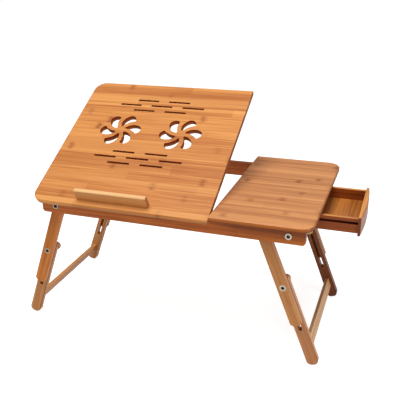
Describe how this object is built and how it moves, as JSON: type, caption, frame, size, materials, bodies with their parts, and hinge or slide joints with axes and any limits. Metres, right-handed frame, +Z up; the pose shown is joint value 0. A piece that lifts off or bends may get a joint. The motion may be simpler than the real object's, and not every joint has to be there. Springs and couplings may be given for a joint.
{
  "type": "lap desk with tilting panel and drawer",
  "caption": "Lap desk with a tilting vented laptop panel on a notched prop, a fixed side panel over a small drawer, and folding legs with sliding lower halves.",
  "frame": {"origin": "middle of the bounding box's underside, between the feet", "axes": "+X to the right along the desk, from the tilting panel towards the drawer; +Y from the user's edge to the far edge; +Z up"},
  "size_m": [0.692, 0.352, 0.459],
  "materials": {
    "bamboo_panel": "clear satin lacquer over pressed bamboo strips",
    "bamboo_side_panel": "clear satin lacquer over pressed bamboo strips",
    "bamboo_frame": "clear satin lacquer on carbonised bamboo",
    "bamboo_drawer": "clear satin lacquer on carbonised bamboo",
    "bamboo_pale": "natural bamboo with a thin satin lacquer",
    "steel": "zinc plated"
  },
  "bodies": {
    "root": {"front_rail": "bamboo_frame", "rear_rail": "bamboo_frame", "left_cross_rail": "bamboo_frame", "left_bearer": "bamboo_frame", "right_bearer": "bamboo_frame", "fixed_panel": "bamboo_side_panel", "front_end_block": "bamboo_frame", "rear_end_block": "bamboo_frame", "front_drawer_guide": "bamboo_frame", "rear_drawer_guide": "bamboo_frame", "hinge_fixed_leaves": "steel", "hinge_pins": "steel", "left_pivot_bolts": "steel", "right_pivot_pins": "steel", "end_block_bolts": "steel"},
    "tilt_panel": {"tilt_panel": "bamboo_panel", "book_stop": "bamboo_pale", "hinge_moving_leaves": "steel", "prop_blocks": "bamboo_frame", "prop_pins": "steel"},
    "tilt_prop": {"left_prop_arm": "bamboo_frame", "right_prop_arm": "bamboo_frame", "prop_bar": "steel"},
    "drawer": {"drawer_front": "bamboo_drawer", "drawer_front_side": "bamboo_drawer", "drawer_rear_side": "bamboo_drawer", "drawer_back": "bamboo_drawer", "drawer_floor": "bamboo_drawer"},
    "left_legs": {"left_front_upper_leg": "bamboo_frame", "left_rear_upper_leg": "bamboo_frame", "left_knob_bolts": "steel"},
    "left_lower_legs": {"left_front_lower_leg": "bamboo_frame", "left_rear_lower_leg": "bamboo_frame", "left_crossbar": "bamboo_frame"},
    "left_front_knob": {"left_front_knob": "bamboo_pale"},
    "left_rear_knob": {"left_rear_knob": "bamboo_pale"},
    "right_legs": {"right_front_upper_leg": "bamboo_frame", "right_rear_upper_leg": "bamboo_frame", "right_knob_bolts": "steel"},
    "right_lower_legs": {"right_front_lower_leg": "bamboo_frame", "right_rear_lower_leg": "bamboo_frame", "right_crossbar": "bamboo_frame"},
    "right_front_knob": {"right_front_knob": "bamboo_pale"},
    "right_rear_knob": {"right_rear_knob": "bamboo_pale"}
  },
  "joints": [
    {"name": "panel_tilt", "type": "hinge", "parent": "root", "child": "tilt_panel", "pos_m": [-0.09598, -0.15798, 0.29146], "axis": [1, 0, 0], "range_deg": [-28.5, 0]},
    {"name": "prop_swing", "type": "hinge", "parent": "tilt_panel", "child": "tilt_prop", "pos_m": [-0.09598, -0.02814, 0.35621], "axis": [1, 0, 0], "range_deg": [0, 69.8]},
    {"name": "drawer_slide", "type": "slide", "parent": "root", "child": "drawer", "axis": [1, 0, 0], "range_m": [-0.076, 0.044]},
    {"name": "left_leg_fold", "type": "hinge", "parent": "root", "child": "left_legs", "pos_m": [-0.23398, 0.00102, 0.27581], "axis": [0, -1, 0], "range_deg": [0, 107.8]},
    {"name": "left_leg_shorten", "type": "slide", "parent": "left_legs", "child": "left_lower_legs", "axis": [0.3551, 0, 0.9348], "range_m": [0, 0.095]},
    {"name": "left_front_knob_turn", "type": "hinge", "parent": "left_legs", "child": "left_front_knob", "pos_m": [-0.27624, -0.12088, 0.16457], "axis": [0, -1, 0], "continuous": true},
    {"name": "left_rear_knob_turn", "type": "hinge", "parent": "left_legs", "child": "left_rear_knob", "pos_m": [-0.27624, 0.12292, 0.16457], "axis": [0, 1, 0], "continuous": true},
    {"name": "right_leg_fold", "type": "hinge", "parent": "root", "child": "right_legs", "pos_m": [0.17652, 0.00102, 0.27581], "axis": [0, 1, 0], "range_deg": [0, 107.8]},
    {"name": "right_leg_shorten", "type": "slide", "parent": "right_legs", "child": "right_lower_legs", "axis": [-0.3551, 0, 0.9348], "range_m": [0, 0.095]},
    {"name": "right_front_knob_turn", "type": "hinge", "parent": "right_legs", "child": "right_front_knob", "pos_m": [0.21878, -0.12088, 0.16457], "axis": [0, -1, 0], "continuous": true},
    {"name": "right_rear_knob_turn", "type": "hinge", "parent": "right_legs", "child": "right_rear_knob", "pos_m": [0.21878, 0.12292, 0.16457], "axis": [0, 1, 0], "continuous": true}
  ],
  "couplings": [
    {"joint": "prop_swing", "follows": "panel_tilt", "ratio": -2.4315}
  ]
}
